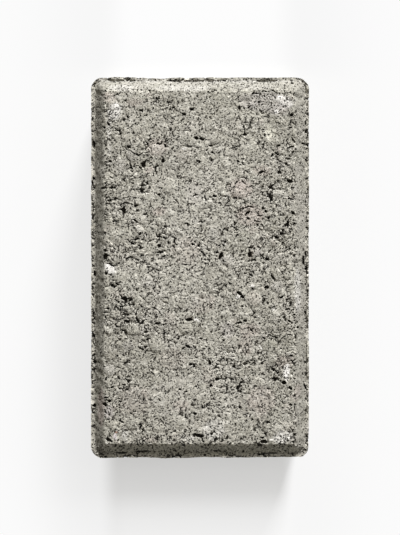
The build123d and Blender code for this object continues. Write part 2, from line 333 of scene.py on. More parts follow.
# Cracks: half breadth, then the points they run through.
cracks = [
    (0.5, [(-38.8, 65.3), (-36.5, 63.5), (-34, 62.7), (-31.6, 63.8), (-29, 64)]),
    (0.4, [(-39.5, 59.7), (-38, 55.2), (-41, 54.6)]), (0.38, [(-10, 67.8), (-3.2, 67.3), (-0.6, 65.4)]),
    (0.45, [(28.2, 96.2), (29.8, 96.9), (31.9, 96.6)]), (0.4, [(33.4, 96.9), (35.2, 98.2), (38, 97.6)]),
    (0.4, [(38.6, 98.9), (40.9, 98.2), (42, 96.9)]),
    (0.34, [(21.2, 84.8), (22.2, 80.9), (24.2, 78.7), (25, 73.4)]), (0.35, [(50.6, 72.4), (52.4, 69.4)]),
    (0.4, [(17, 66.2), (22.5, 68.2)]), (0.6, [(18.9, 46.6), (20.9, 48.6), (23.1, 48.8), (25, 46.6)]),
    (0.5, [(37.7, 45), (40.7, 46.4), (43.6, 47.7)]),
    (0.48, [(-44.6, 34.9), (-41.6, 36.6), (-38.7, 35.6), (-35.5, 34.7), (-37, 32.4)]),
    (0.48, [(-37, 27.1), (-32.6, 24.1)]), (0.55, [(-51.8, 3.2), (-48.7, 1.6), (-45.4, 1)]),
    (0.45, [(-41.6, 5.3), (-38.2, 6.4), (-34.4, 4.5)]), (0.3, [(-22.2, -7.8), (-15, -4.6)]),
    (0.45, [(23.3, 32.5), (26.7, 34.3), (29.3, 33.8)]),
    (0.55, [(51, 29), (48.6, 26.9), (47.8, 24), (48.5, 21.8), (49.9, 19.7)]),
    (0.45, [(11.8, 20.7), (13.6, 21.9), (15.3, 20.6)]), (0.38, [(12.3, 12.8), (13.8, 12.1), (15, 12.9)]),
    (0.4, [(46.1, 8.7), (49.5, 11.4)]), (0.5, [(39.1, -3.9), (41, -5.6), (41.6, -7)]),
    (0.4, [(-47.6, -16.6), (-45.7, -18), (-44.2, -19.9)]), (0.35, [(-46.7, -20.8), (-44.6, -23.4)]),
    (0.35, [(-30.2, -15.3), (-28, -14.1), (-24.8, -15.4)]),
    (0.32, [(-21.6, -16.6), (-19.8, -16), (-17.6, -16.8)]),
    (0.4, [(-52, -29.4), (-50, -28.8), (-48.2, -30.4)]),
    (0.38, [(-47, -29.8), (-46.4, -32), (-44.2, -32.2), (-43.6, -30.2)]),
    (0.35, [(3.8, -19.8), (5.4, -20.6), (7, -19.6), (7.4, -18)]),
    (0.48, [(37.7, -36.5), (40.5, -37.8), (43.2, -39.4)]),
    (0.38, [(25, -32), (26.6, -33.4), (26.8, -34.8)]),
    (0.42, [(11, -51.2), (12.4, -49.8), (14.6, -50.4), (15.2, -52)]),
    (0.3, [(19.9, -58.5), (23.6, -61.7), (26.3, -64.8)]),
    (0.62, [(-5.3, -92), (-3.1, -91.4), (-0.4, -92.2), (1.4, -93.4)]),
    (0.34, [(0.9, -93), (1.4, -95.4), (2.7, -97.4)]), (0.26, [(2.4, -97), (3.6, -99.6), (3.9, -102.2)]),
    (0.3, [(-4, -96.2), (-4.2, -99.5)]), (0.4, [(22.5, -94.2), (25, -95.6)]),
    (0.32, [(-2, -84.4), (-0.2, -83.6), (1.2, -85.2)]),
    (0.5, [(-47, -102.5), (-44, -102.3), (-41, -102.6)]),
    (0.5, [(-36, -101.9), (-30, -101.5), (-25, -101.9)]), (0.5, [(-19.6, -103.5), (-16, -103.8)]),
    (0.5, [(35, -103.2), (39, -102.8), (43, -103)]), (0.4, [(19, -101.9), (24.5, -101.7)]),
    (0.35, [(6, -101), (12, -101.6)]),
]

# Stones that show through: place, half length, half breadth, turn, rise, colour, and for those that have a
# joint round them half its breadth.
stones = [
    (-28.5, 95.7, 1.5, 1.4, 0, 0.25, pink_stone), (-40, 19.7, 5.4, 3.9, 10, 0.25, pale_stone),
    (-26.8, 21.4, 3.2, 2.3, 20, 0.22, grey_stone), (-27.7, 12.5, 4, 2.8, 15, 0.28, pale_stone),
    (-50.1, -0.2, 3.5, 2, -35, 0.35, white_bloom_and_painted_light), (-48, 4.9, 3, 1.8, -10, 0.2, grey_stone, 0.1),
    (-38.2, 3.5, 3.3, 1.9, -5, 0.25, pale_stone), (-20.9, 16.2, 1.3, 1.2, 0, 0.2, pale_stone),
    (-28, 54.6, 2.2, 1.8, 0, 0.25, pink_stone), (-9, 66.1, 1.3, 0.9, 0, 0.2, white_bloom_and_painted_light),
    (43.2, 65.7, 1.7, 1.3, -20, 0.35, pink_stone), (42.3, 86.4, 1.4, 1.4, 0, 0.2, white_bloom_and_painted_light),
    (1.5, 69.2, 3.2, 2, -10, 0.2, pale_stone), (22, 45.8, 2.6, 2.1, 0, 0.15, pink_stone),
    (-22.4, 31.2, 1.3, 0.9, 0, -0.1, brown_stone), (48.2, 17.6, 2.8, 1.6, 10, 0.3, pale_stone, 0.1),
    (24.2, 18, 3.4, 2.8, 0, 0.15, olive_stone), (13.7, 13.4, 1.2, 0.6, 0, 0.2, white_bloom_and_painted_light),
    (6.4, 13.3, 1.2, 1, 0, -0.1, grey_stone, 0.15), (31.7, 8.3, 2.2, 1.8, 0, 0.15, lavender_paste),
    (-27.9, -16.8, 2.6, 2.3, 0, 0.3, grey_stone, 0.12),
    (-19.3, -17.8, 2.1, 1.4, -25, 0.3, pale_stone, 0.1),
    (-50.5, -30.6, 1.9, 1.7, 0, 0.25, grey_stone, 0.1),
    (-45.4, -30.6, 1.4, 1.3, 0, 0.25, pale_stone, 0.15), (-41, -32.8, 2.6, 1.4, 15, 0.2, pale_stone),
    (-1.5, -28.4, 2, 0.8, -30, 0.35, white_bloom_and_painted_light), (19.1, -13.6, 1.6, 1.4, 0, 0.2, pink_stone, 0.12),
    (21.2, -16.2, 1.3, 1.1, 0, 0.3, white_bloom_and_painted_light, 0.1), (29, -9.5, 1, 0.9, 0, 0.25, white_bloom_and_painted_light),
    (40.8, -22.7, 0.9, 0.8, 0, 0.2, white_bloom_and_painted_light), (38.5, -42.3, 4.6, 3.7, 10, 0.1, olive_stone, 0.08),
    (33.5, -43.8, 1.2, 0.5, -45, 0.25, white_bloom_and_painted_light), (13.1, -52.1, 1.8, 1.6, 0, 0.15, grey_stone, 0.18),
    (47.8, -57.2, 3.9, 1.3, 84, 0.3, white_bloom_and_painted_light), (50.3, -71.3, 1, 0.9, 0, 0.3, pink_stone),
    (-47.2, -93.4, 1.9, 1.3, 100, 0.35, lavender_stone), (-47, -90.6, 1, 0.6, 0, 0.2, red_grain),
    (-2.4, -94.6, 2.4, 1.5, 0, 0.1, grey_stone), (27.5, -96.1, 1.2, 0.9, 0, 0.25, pale_stone),
    (39.4, -95, 1.3, 1, 0, 0.3, white_bloom_and_painted_light), (-50.8, -97.4, 2.6, 0.6, -27, 0.25, white_bloom_and_painted_light),
    (-4.4, -93.6, 1.2, 0.7, 0, 0.2, white_bloom_and_painted_light),
]

# Stains, among them painted shade and painted light: place, half length, half breadth, turn, strength,
# colour.
stains_and_painted_shading = [
    # The first darkens the left chamfer, which faces away from the key light: painted shade.
    (-56, 0, 104, 2.6, 90, 0.08, grime_and_painted_shade), (-47.3, 86.6, 5.2, 3.6, 65, 0.8, white_bloom_and_painted_light),
    (-50.3, 77, 5.5, 1.3, 85, 0.4, white_bloom_and_painted_light), (-50.3, 66.5, 4, 1.2, 90, 0.3, white_bloom_and_painted_light),
    # The strips on this line and the first on the next lie on the far chamfer, which faces the key light:
    # partly bloom and partly painted light.
    (-44, 100.2, 7, 2, 0, 0.35, white_bloom_and_painted_light), (-10, 99.7, 16, 2, 0, 0.25, white_bloom_and_painted_light),
    (30, 100.6, 9, 1.6, 0, 0.15, white_bloom_and_painted_light), (36, 92, 15, 5.5, -5, 0.26, lavender_stone),
    (46.6, 92.6, 5.4, 3.2, -20, 0.62, white_bloom_and_painted_light), (38.4, 75, 3.5, 3.2, 20, 0.85, cream_bloom_and_painted_light),
    # Painted light: these two make the near rim and the near chamfer paler, where the key light's shadow
    # falls.
    (0, -104.1, 56, 1.1, 0, 0.45, white_bloom_and_painted_light), (0, -100.5, 57, 3.6, 0, 0.48, cream_bloom_and_painted_light),
    # Painted shade: these two darken the near left corner and the left rim, away from the key light.
    (-57, -101.5, 4, 3, 45, 0.5, grime_and_painted_shade), (-59.2, 0, 104, 1.1, 90, 0.12, grime_and_painted_shade),
    # The first makes the far rim paler.
    (0, 104.1, 56, 1.1, 0, 0.25, white_bloom_and_painted_light), (45.7, -93.3, 5.5, 3.4, 10, 0.6, white_bloom_and_painted_light),
    (7.6, -89.1, 6, 6, 0, 0.4, white_bloom_and_painted_light), (53.9, -12, 12, 2, 90, 0.5, white_bloom_and_painted_light),
    (-8.7, -93.3, 2.6, 1.5, 0, 0.35, white_bloom_and_painted_light), (-41.5, -92, 1.8, 3.4, 0, 0.45, white_bloom_and_painted_light),
    (36.6, 1.5, 1.6, 0.8, -50, 0.35, white_bloom_and_painted_light), (-36.5, 91.9, 4.5, 2.5, 0, 0.45, pink_paste),
    (-50.9, 95, 4, 2.5, 0, 0.45, pink_paste), (-23.8, 67, 6, 5, 0, 0.45, pink_paste),
    (22, 44, 7, 6, 0, 0.6, pink_paste), (34, 54, 5, 3, 0, 0.4, pink_paste),
    (27.5, 29.5, 8, 6, 0, 0.55, pink_paste), (-22.7, 31.5, 4, 2.5, 0, 0.6, pink_paste),
    (-8.4, 10, 8, 8, 0, 0.35, pink_paste), (27.5, -34, 6, 4, 0, 0.45, pink_paste),
    (25.3, -42.3, 6, 3.5, 90, 0.45, pink_paste), (46.8, -51.7, 5, 4, 0, 0.45, pink_paste),
    (34, -72.7, 8, 8, 0, 0.35, pink_paste), (-10.6, -75.5, 5, 3, 0, 0.5, pink_paste),
    (-36, -72.7, 9, 8, 0, 0.25, pink_paste), (53.5, -69, 5, 2, 80, 0.5, pink_paste),
    (5, -60, 4, 7, 30, 0.3, pink_paste), (28, 7.6, 2.6, 1.6, 70, 0.55, brown_stone),
    (11, 7.4, 2.6, 1.4, 65, 0.5, brown_stone), (-6.2, -27.6, 2.2, 1.2, 0, 0.45, brown_stone),
    (-3.4, 41.7, 6, 5, 90, 0.45, lavender_paste), (15.3, -34, 5, 4, 90, 0.4, lavender_paste),
    (-55, -77, 11, 2, 90, 0.75, pink_paste), (-50.6, -79.5, 4, 2.6, 90, 0.5, lavender_stone),
    (-27.7, -94.8, 4, 1.5, 0, 0.35, pink_paste), (-45.4, -14.7, 4, 3, 0, 0.35, pink_paste),
    (44, 88, 6, 4, 0, 0.3, lavender_paste), (-6, 0, 98, 17, 90, 0.16, pale_wash),
    (-9, 33, 20, 10, 80, 0.28, pale_wash), (9, 50, 17, 10, 90, 0.22, pale_wash),
    (-10, -5, 14, 12, 0, 0.15, pale_wash), (12, -72, 16, 8, 80, 0.22, pale_wash),
    (-42, -32, 17, 9, 90, 0.1, grime_and_painted_shade), (43, -48, 22, 9, 90, 0.09, grime_and_painted_shade), (44, 24, 10, 8, 90, 0.08, grime_and_painted_shade),
    (-42, 55, 22, 8, 90, 0.05, grime_and_painted_shade), (44, 80, 14, 8, 90, 0.06, grime_and_painted_shade),
    (2, -20, 7, 5, 30, 0.25, pink_paste), (-15, -50, 8, 6, 0, 0.2, pink_paste),
    (15, -60, 20, 8, 90, 0.28, pale_wash), (-36, 36, 12, 10, 0, 0.2, pale_wash),
    (-30, -2, 9, 7, 0, 0.25, pale_wash), (-44, 58, 8, 8, 0, 0.08, grime_and_painted_shade),
    (-14.5, 60, 9, 9, 0, 0.08, grime_and_painted_shade), (15, 87, 8, 8, 0, 0.09, grime_and_painted_shade), (-8, 74, 14, 6, 0, 0.06, grime_and_painted_shade),
    (45, 73, 6, 7, 0, 0.08, grime_and_painted_shade), (37, -30, 13, 8, 0, 0.07, grime_and_painted_shade), (-37, -60, 18, 12, 90, 0.07, grime_and_painted_shade),
    (-29, -2, 14, 10, 0, 0.25, pale_wash), (-43, -15, 7, 7, 0, 0.3, pale_wash),
    (22, -2, 13, 9, 0, 0.25, pale_wash), (0, 43, 9, 9, 0, 0.22, pale_wash),
    (2, -48, 10, 10, 0, 0.2, pale_wash), (-14, 59, 9, 9, 0, 0.07, grime_and_painted_shade), (0, 73, 16, 8, 0, 0.06, grime_and_painted_shade),
    (44, -1, 6, 7, 0, 0.1, grime_and_painted_shade), (-45, -48, 8, 9, 0, 0.09, grime_and_painted_shade), (-36, -77, 14, 8, 0, 0.08, grime_and_painted_shade),
    (34, -88, 12, 6, 0, 0.09, grime_and_painted_shade), (45, -55, 6, 14, 0, 0.08, grime_and_painted_shade), (-46, 84, 8, 8, 0, 0.05, grime_and_painted_shade),
    (45, 78, 6, 12, 0, 0.07, grime_and_painted_shade), (-22, 10, 14, 9, 0, 0.2, pale_wash),
    (16, -50, 9, 9, 0, 0.22, pale_wash), (47.8, -57.2, 4.6, 1.9, 84, 0.85, white_bloom_and_painted_light),
    (-49.8, -0.4, 4, 2.5, -35, 0.75, white_bloom_and_painted_light),
]


def smoothstep(low, high, value):
    """0 below low, 1 above high and a smooth rise between them."""
    share = np.clip((value - low) / (high - low), 0, 1)
    return share * share * (3 - 2 * share)


def ridge(value, middle, breadth):
    """1 in the middle, falling off smoothly on both sides."""
    return np.exp(-(((value - middle) / breadth) ** 2))


class Lattice:
    """A box of cubic cells round the block, which noise is read from."""

    margin = 12.0

    def __init__(self, cell_size, seed):
        self.cell_size = cell_size
        self.low = np.array([-width / 2, -length / 2, 0]) - self.margin
        span = np.array([width, length, height]) + 2 * self.margin
        self.shape = tuple(int(math.ceil(side / cell_size)) + 3 for side in span)
        self.random = np.random.default_rng(seed)

    def place(self, points):
        """Each point's place counted in cells, and the cell that holds it."""
        scaled = (points - self.low) / self.cell_size + 1
        return scaled, np.floor(scaled).astype(int)


def noise(points, wavelength, seed):
    """Smooth random values from -1 to 1."""
    lattice = Lattice(wavelength, seed)
    table = lattice.random.uniform(-1, 1, lattice.shape).astype(np.float32)
    scaled, cell = lattice.place(points)
    part = scaled - cell
    part = part * part * (3 - 2 * part)
    total = np.zeros(len(points))
    for corner in itertools.product((0, 1), repeat=3):
        weight = np.prod(np.where(corner, part, 1 - part), axis=1)
        total += weight * table[tuple((cell + corner).T)]
    return total


def layered_noise(points, wavelength, seed, layers=3, fall=0.5):
    """Noise with finer and fainter layers added, about -1 to 1."""
    total = np.zeros(len(points))
    strength = 1.0
    for layer in range(layers):
        total += strength * noise(points, wavelength / 2**layer, seed + layer)
        strength *= fall
    return total


class Grains:
    """Random grains, at most one to a cell, and how the given points lie among them.

    inside: how deep a point is in its nearest grain, cut back where two grains meet; below zero in the gaps.
    tone and height: two random numbers of that grain, from 0 to 1.
    level: how that grain stands and leans at the point, about -1 to 1.
    """

    def __init__(self, points, sort):
        lattice = Lattice(sort.cell_size, sort.seed)
        random = lattice.random
        centres = random.random((*lattice.shape, 3), dtype=np.float32)
        radii = random.uniform(sort.smallest, sort.largest, lattice.shape).astype(np.float32)
        radii[random.random(lattice.shape) > sort.share] = -2
        tones = random.random(lattice.shape, dtype=np.float32)
        leans = random.uniform(-1, 1, (*lattice.shape, 3)).astype(np.float32)
        scaled, cell = lattice.place(points)
        best = np.full(len(points), far_outside)
        second = np.full(len(points), far_outside)
        tone = np.zeros(len(points))
        lean = np.zeros(len(points))
        for step in itertools.product((-1, 0, 1), repeat=3):
            near = cell + step
            index = tuple(near.T)
            away = near + centres[index] - scaled
            depth = radii[index] - np.sqrt((away * away).sum(axis=1))
            closer = depth > best
            second = np.where(closer, best, np.maximum(second, depth))
            best = np.where(closer, depth, best)
            tone = np.where(closer, tones[index], tone)
            lean = np.where(closer, (leans[index] * away).sum(axis=1), lean)
        border = (best - second) * sort.cell_size / 2 - sort.gap
        self.inside = np.minimum(best * sort.cell_size, border)
        self.tone = tone
        self.height = tone * 5 % 1
        self.level = 1.2 * lean + 0.9 * (tone * 7 % 1 - 0.5)


def lattice_points(columns, rows):
    """Points of a rectangular lattice whose square corners are bent onto the block's rounded corners."""
    across = np.linspace(-width / 2, width / 2, columns + 1)
    along = np.linspace(-length / 2, length / 2, rows + 1)
    x, y = (side.ravel() for side in np.meshgrid(across, along))
    centre_x, centre_y = width / 2 - corner_radius, length / 2 - corner_radius
    across, along = np.abs(x) - centre_x, np.abs(y) - centre_y
    corner = (across > 0) & (along > 0)
    reach = np.maximum(across, along)[corner]
    low = np.minimum(across, along)[corner]
    turn = math.pi / 4 * low / reach
    turn = np.where(along[corner] > across[corner], math.pi / 2 - turn, turn)
    x[corner] = np.sign(x[corner]) * (centre_x + reach * np.cos(turn))
    y[corner] = np.sign(y[corner]) * (centre_y + reach * np.sin(turn))
    return np.stack([x, y], axis=1)


def lattice_edge(columns, rows):
    """The lattice's outer points, counted round it anticlockwise from its first corner."""
    across = columns + 1
    front = np.arange(columns)
    right = np.arange(rows) * across + columns
    back = rows * across + np.arange(columns, 0, -1)
    left = np.arange(rows, 0, -1) * across
    return np.concatenate([front, right, back, left])


def lattice_faces(columns, rows):
    """The lattice's squares, facing up."""
    corner = (np.arange(rows)[:, None] * (columns + 1) + np.arange(columns)).ravel()
    return np.stack([corner, corner + 1, corner + columns + 2, corner + columns + 1], axis=1)


def inset_of(plan):
    """How far each point lies inside the block's rounded outline, and the outward direction there."""
    beyond = np.abs(plan) - (np.array([width, length]) / 2 - corner_radius)
    out = np.where(beyond > 0, beyond, 0)
    rounded = np.hypot(out[:, 0], out[:, 1])
    flat = beyond.max(axis=1)
    inset = corner_radius - np.where(flat > 0, rounded, flat)
    nearest = np.where(beyond >= flat[:, None], 1.0, 0.0)
    direction = np.where((flat > 0)[:, None], out, nearest) * np.sign(plan)
    return inset, direction / np.maximum(np.hypot(*direction.T), 1e-9)[:, None]


def head_level(inset):
    """The height of the pressed head at a distance inside the outline."""
    stops = [0, burr_crest_width, burr_foot_width, rim_width, face_inset]
    levels = [burr_level, burr_level, rim_level, rim_level, height]
    return np.interp(inset, stops, levels)


def wall_levels():
    """Heights of the rings of points down the walls, close together under the rim."""
    fine = burr_level - np.arange(1, 6) * 0.35
    coarse = np.arange(fine[-1] - 0.8, 1.6, -0.95)
    return fine, coarse


def join_rings(upper, lower):
    """Faces between two rings round the wall. The lower ring has as many points, or half."""
    if len(upper) == len(lower):
        return [np.stack([upper, lower, np.roll(lower, -1), np.roll(upper, -1)], axis=1)], []
    first, middle, last = upper[::2], upper[1::2], np.roll(upper[::2], -1)
    quads = np.stack([middle, lower, np.roll(lower, -1), last], axis=1)
    triangles = np.stack([first, lower, middle], axis=1)
    return [quads], [triangles]


def plain_block():
    """The smooth block: its points with their inset, outward direction and share of wall, and its faces."""
    plan = lattice_points(top_columns, top_rows)
    inset, direction = inset_of(plan)
    points = [np.column_stack([plan, head_level(inset)])]
    insets, directions, walls = [inset], [direction], [np.zeros(len(plan))]
    quads, triangles = [lattice_faces(top_columns, top_rows)], []
    ring = lattice_edge(top_columns, top_rows)
    outline, outward = plan[ring], direction[ring]
    count = len(plan)
    fine, coarse = wall_levels()
    steps = [(level, 1) for level in fine] + [(level, 2) for level in coarse] + [(1.0, 4)]
    for level, thinning in steps:
        below = outline[::thinning]
        lower = count + np.arange(len(below))
        points.append(np.column_stack([below, np.full(len(below), level)]))
        insets.append(np.zeros(len(below)))
        directions.append(outward[::thinning])
        walls.append(np.ones(len(below)))
        new_quads, new_triangles = join_rings(ring, lower)
        quads += new_quads
        triangles += new_triangles
        ring = lower
        count += len(below)
    columns, rows = top_columns // 2**halvings, top_rows // 2**halvings
    bed = lattice_points(columns, rows)
    inset, direction = inset_of(bed)
    points.append(np.column_stack([bed, np.zeros(len(bed))]))
    insets.append(inset)
    directions.append(direction)
    walls.append(np.zeros(len(bed)))
    quads.append(count + lattice_faces(columns, rows)[:, ::-1])
    new_quads, new_triangles = join_rings(ring, count + lattice_edge(columns, rows))
    quads += new_quads
    triangles += new_triangles
    return [np.concatenate(part) for part in (points, insets, directions, walls, quads, triangles)]


def region_weights(points, inset):
    """How much each point belongs to each part of the skin."""
    on_top = smoothstep(rim_level - 1.2, rim_level - 0.2, points[:, 2])
    on_bed = smoothstep(0.8, 0.1, points[:, 2]) * smoothstep(0.0, 0.8, inset)
    face = on_top * smoothstep(face_inset - 0.5, face_inset + 0.6, inset)
    rim = on_top * smoothstep(rim_width + 0.5, rim_width - 0.3, inset)
    chamfer = np.clip(on_top - face - rim, 0, 1)
    wall = np.clip(1 - on_top - on_bed, 0, 1)
    return {"face": face, "chamfer": chamfer, "rim": rim, "wall": wall, "bed": on_bed}


def random_shifts(points, axes, wavelength, seed, layers, fall):
    """Smooth random shifts along the first two or all three axes."""
    shifts = [layered_noise(points, wavelength, seed + 10 * axis, layers, fall) for axis in range(axes)]
    return np.stack(shifts, axis=1)


def bent(points, reach, wavelength, seed):
    """The points moved about at random, so that what is drawn at them gets uneven edges."""
    return points + reach * random_shifts(points, 3, wavelength, seed, 3, 0.6)


def inside_oval(plan, x, y, half_length, half_breadth, turn=0):
    """The points near an oval, and how far each lies inside its edge."""
    reach = half_length + 2.0
    near = np.nonzero((np.abs(plan[:, 0] - x) < reach) & (np.abs(plan[:, 1] - y) < reach))[0]
    across, along = plan[near, 0] - x, plan[near, 1] - y
    cos, sin = math.cos(math.radians(turn)), math.sin(math.radians(turn))
    share = np.hypot((across * cos + along * sin) / half_length, (along * cos - across * sin) / half_breadth)
    away = np.hypot(across, along)
    return near, away / np.maximum(share, hair) - away


def inside_crack(plan, half_breadth, path):
    """The points near a crack, and how far each lies inside it. It narrows towards its ends."""
    path = np.array(path, float)
    low, high = path.min(axis=0) - 2.0, path.max(axis=0) + 2.0
    near = np.nonzero(((plan > low) & (plan < high)).all(axis=1))[0]
    spans = np.hypot(*np.diff(path, axis=0).T)
    travelled, depth = 0.0, np.full(len(near), far_outside)
    for start, end, span in zip(path[:-1], path[1:], spans):
        away = plan[near] - start
        share = np.clip(away @ (end - start) / span**2, 0, 1)
        gone = (travelled + share * span) / spans.sum()
        local = half_breadth * (0.5 + 0.5 * np.sin(math.pi * gone))
        depth = np.maximum(depth, local - np.hypot(*(away - share[:, None] * (end - start)).T))
        travelled += span
    return near, depth


def measured(points, reach, wavelength, seed):
    """The points' places as the marks were measured, moved about a little to give the marks uneven edges."""
    plan = (points[:, :2] - face_shift) / face_scale
    return plan + reach * random_shifts(points, 2, wavelength, seed, 2, 0.7)


def with_joints(marks):
    """The stones, each with its joint as its last number."""
    return [(*mark, 0) if len(mark) == 7 else mark for mark in marks]


def placed_marks(points):
    """The listed marks: how far a point is inside a pit, stone or joint, and its depth or rise."""
    plan = measured(points, *pit_edges)
    stone_plan = measured(points, *stone_edges)
    uneven = layered_noise(points, 1.0, 221, 2, 0.7)
    broken = 0.35 * smoothstep(-0.1, 0.5, noise(points, 2.4, 231))
    found = {name: np.full(len(points), far_outside) for name in ("hollow", "stone", "joint")}
    found["hollow_depth"] = np.zeros(len(points))
    found["rise"] = np.zeros(len(points))
    drawn = [(inside_oval(plan, *mark), 0.6 + 1.9 * mark[3], 0.22, 0.0) for mark in pits + rim_holes]
    drawn += [(inside_crack(plan, *crack), 0.6 + 1.8 * crack[0], 0.30, 1.0) for crack in cracks]
    for (near, depth), bottom, raggedness, breaks in drawn:
        depth = depth + raggedness * uneven[near] - breaks * broken[near]
        better = depth > found["hollow"][near]
        found["hollow"][near] = np.where(better, depth, found["hollow"][near])
        found["hollow_depth"][near] = np.where(better, min(bottom, 2.2), found["hollow_depth"][near])
    for *oval, rise, _, joint in with_joints(stones):
        near, depth = inside_oval(stone_plan, *oval)
        found["stone"][near] = np.maximum(found["stone"][near], depth)
        found["rise"][near] += rise * smoothstep(-0.2, 0.9, depth)
        if joint:
            found["joint"][near] = np.maximum(found["joint"][near], joint - np.abs(depth + joint))
    return found


def ragged_head(points, inset):
    """How far the pressed head's edges fall short of their true lines: a wavy arris and a broken burr."""
    x, y = points[:, 0], points[:, 1]
    setback_from, setback_to = setback_zone
    wobble = arris_wander * np.abs(layered_noise(points, arris_wander_length, 61, 3, 0.8))
    wobble += near_end_setback * smoothstep(-length / 2 + setback_from, -length / 2 + setback_to, y)
    wobble += far_end_setback * smoothstep(length / 2 - setback_from, length / 2 - setback_to, y)
    arris = head_level(inset) - head_level(np.maximum(inset - wobble, np.minimum(inset, rim_width)))
    far_side = smoothstep(length / 2 - 4.0, length / 2 - 3.0, y)
    standing = smoothstep(*burr_limits, layered_noise(points, burr_stretch, 71, 4, 0.7)) * (1 - far_side)
    crumbled = smoothstep(-0.75, -0.25, layered_noise(points, 3.0, 75, 2, 0.7))
    for start, end in standing_burrs:
        here = smoothstep(start - 1.5, start + 1.5, x) * smoothstep(end + 1.5, end - 1.5, x)
        standing = np.maximum(standing, here * far_side * crumbled)
    burr = (1 - standing) * np.clip(head_level(inset) - rim_level, 0, None) * (inset < rim_width)
    return arris + burr + arris_rounding * ridge(inset - face_inset, 0, 0.6)


def texture_at(points):
    """How rough and open the head is at each point: above zero where it is rough, below where smooth."""
    plan = measured(points, *texture_edges)
    total = np.zeros(len(points))
    for *oval, strength in textures:
        near, depth = inside_oval(plan, *oval)
        total[near] += strength * smoothstep(-2.0, 6.0, depth)
    return np.clip(total, -1, 1.3)


def mixed(weights, field):
    """One number of the finishes, blended between the parts of the skin."""
    return sum(weight * getattr(finishes[name], field) for name, weight in weights.items())


def cover_at(points, inset, weights, grains, patchiness, openness, near_end):
    """How much paste lies over the grains. The surface is open where this is below zero."""
    coarse, medium, fine = grains
    at_arris = ridge(inset - face_inset, 0.6, 0.9) * (points[:, 2] > rim_level)
    on_rim = thinner["rim"] * ridge(inset, 0.9, 0.5) * weights["rim"]
    cover = np.maximum(np.maximum(coarse.inside, medium.inside), fine.inside - fine_grain_loss) + paste_cover
    cover += mottling * noise(points, mottle_size, 43)
    cover += mixed(weights, "cover") + mixed(weights, "patches") * patchiness - thinner["arris"] * at_arris
    return cover - (thinner["rough"] * openness + thinner["near chamfer"] * near_end + on_rim)


def rolling_surface(points, weights, rise):
    """How far the paste lies below the true faces: broad rolls, lumps, and drag marks on the walls."""
    swell = layered_noise(points, swell_size, 51, 2, 0.5)
    lumps = layered_noise(points, lump_size, 55, 2, 0.5)
    rolling = mixed(weights, "swell") * (1 - swell) + mixed(weights, "lumps") * (1 - lumps)
    drag = noise(points * np.array([1, 1, 0.08]), drag_breadth, 81)
    rolling += weights["wall"] * drag_depth * (1 - drag)
    return np.maximum(rolling - 0.25 * weights["rim"] - 2 * drag_depth * weights["wall"] - rise, 0)


def standing_grains(grains, on_coarse, on_medium):
    """How far the grains stand out of the paste, by the way each one lies and by its bulge."""
    (coarse, medium, fine), (coarse_sort, medium_sort, fine_sort) = grains, grain_sorts
    standing = fine_sort.lean * fine.level
    standing = standing + on_medium * (medium_sort.lean * medium.level - 0.03 * fine.level)
    standing = standing * (1 - 0.7 * on_coarse) + on_coarse * coarse_sort.lean * coarse.level
    rising = smoothstep(-0.3, 2 * bulge_reach, coarse.inside)
    standing += coarse_sort.bulge * (0.4 + 0.6 * coarse.height) * rising
    rising = smoothstep(-0.3, bulge_reach, medium.inside)
    standing += medium_sort.bulge * (0.3 + 0.7 * medium.height) * rising * (1 - on_coarse)
    rising = smoothstep(-0.2, 0.4, fine.inside)
    return standing + fine_sort.bulge * rising * (1 - on_coarse) * (1 - on_medium)


def relief(points, inset):
    """How far each point is sunk into the block, with the numbers that the material reads."""
    weights = region_weights(points, inset)
    wavy = bent(points, 0.28, 2.0, 11)
    grains = coarse, medium, fine = [Grains(wavy, sort) for sort in grain_sorts]
    patchiness = layered_noise(points, patch_size, 45, 2) + 0.7 * layered_noise(points, drift_size, 41, 3)
    openness = texture_at(points) * weights["face"]
    near_end = smoothstep(-length / 2 + 9.5, -length / 2 + 7.5, points[:, 1]) * weights["chamfer"]
    cover = cover_at(points, inset, weights, grains, patchiness, openness, near_end)

    # The listed marks go over the random ones.
    on_head = smoothstep(rim_level - 3.0, rim_level - 1.0, points[:, 2])
    marks = placed_marks(points)
    on_stone = smoothstep(-0.1, 0.3, marks["stone"]) * on_head
    cover = np.where(on_stone > 0, np.maximum(cover, on_stone * 0.3), cover)
    hollow = np.maximum(marks["hollow"], marks["joint"])
    by_hand = (hollow > -cover) & (on_head > 0.5)
    cover = np.where(by_hand, -hollow, cover)

    open_share = smoothstep(*pore_edge, cover)
    depth = 0.75 + 0.3 * noise(points, 4.0, 47) + 0.8 * smoothstep(-0.1, -0.6, cover)
    depth = np.where(by_hand, np.maximum(marks["hollow_depth"], 0.7), mixed(weights, "depth") * depth)
    shoulder = 0.06 * np.exp(-np.maximum(cover, 0) / 0.15)
    rolling = rolling_surface(points, weights, marks["rise"] * on_head)
    on_coarse = smoothstep(-0.05, 0.2, coarse.inside)
    on_medium = smoothstep(-0.05, 0.15, medium.inside)
    standing = standing_grains(grains, on_coarse, on_medium)
    standing *= mixed(weights, "grains") * (1 + 0.7 * openness) * (1 - 0.6 * on_stone)
    rolling = np.maximum(rolling + grain_room * mixed(weights, "grains") - standing, 0)

    tone = np.where(on_coarse > 0.3, coarse.tone, np.where(on_medium > 0.3, medium.tone, fine.tone))
    return {
        "sunk": open_share * depth + shoulder + rolling + ragged_head(points, inset),
        # How far into an open pore a point lies, where the material paints shade.
        "painted_cavity_shade": smoothstep(0.35, 1.0, open_share),
        "paleness": mixed(weights, "paleness"),
        "tone": tone,
        "stone": np.maximum(on_coarse, 0.7 * on_medium) * (1 - 0.6 * weights["chamfer"]) * (1 - on_stone),
        "smooth": np.maximum(weights["chamfer"] - near_end, 0.6 * on_stone),
        "patchy": np.clip(0.5 - 0.5 * openness + 0.25 * patchiness, 0, 1),
    }


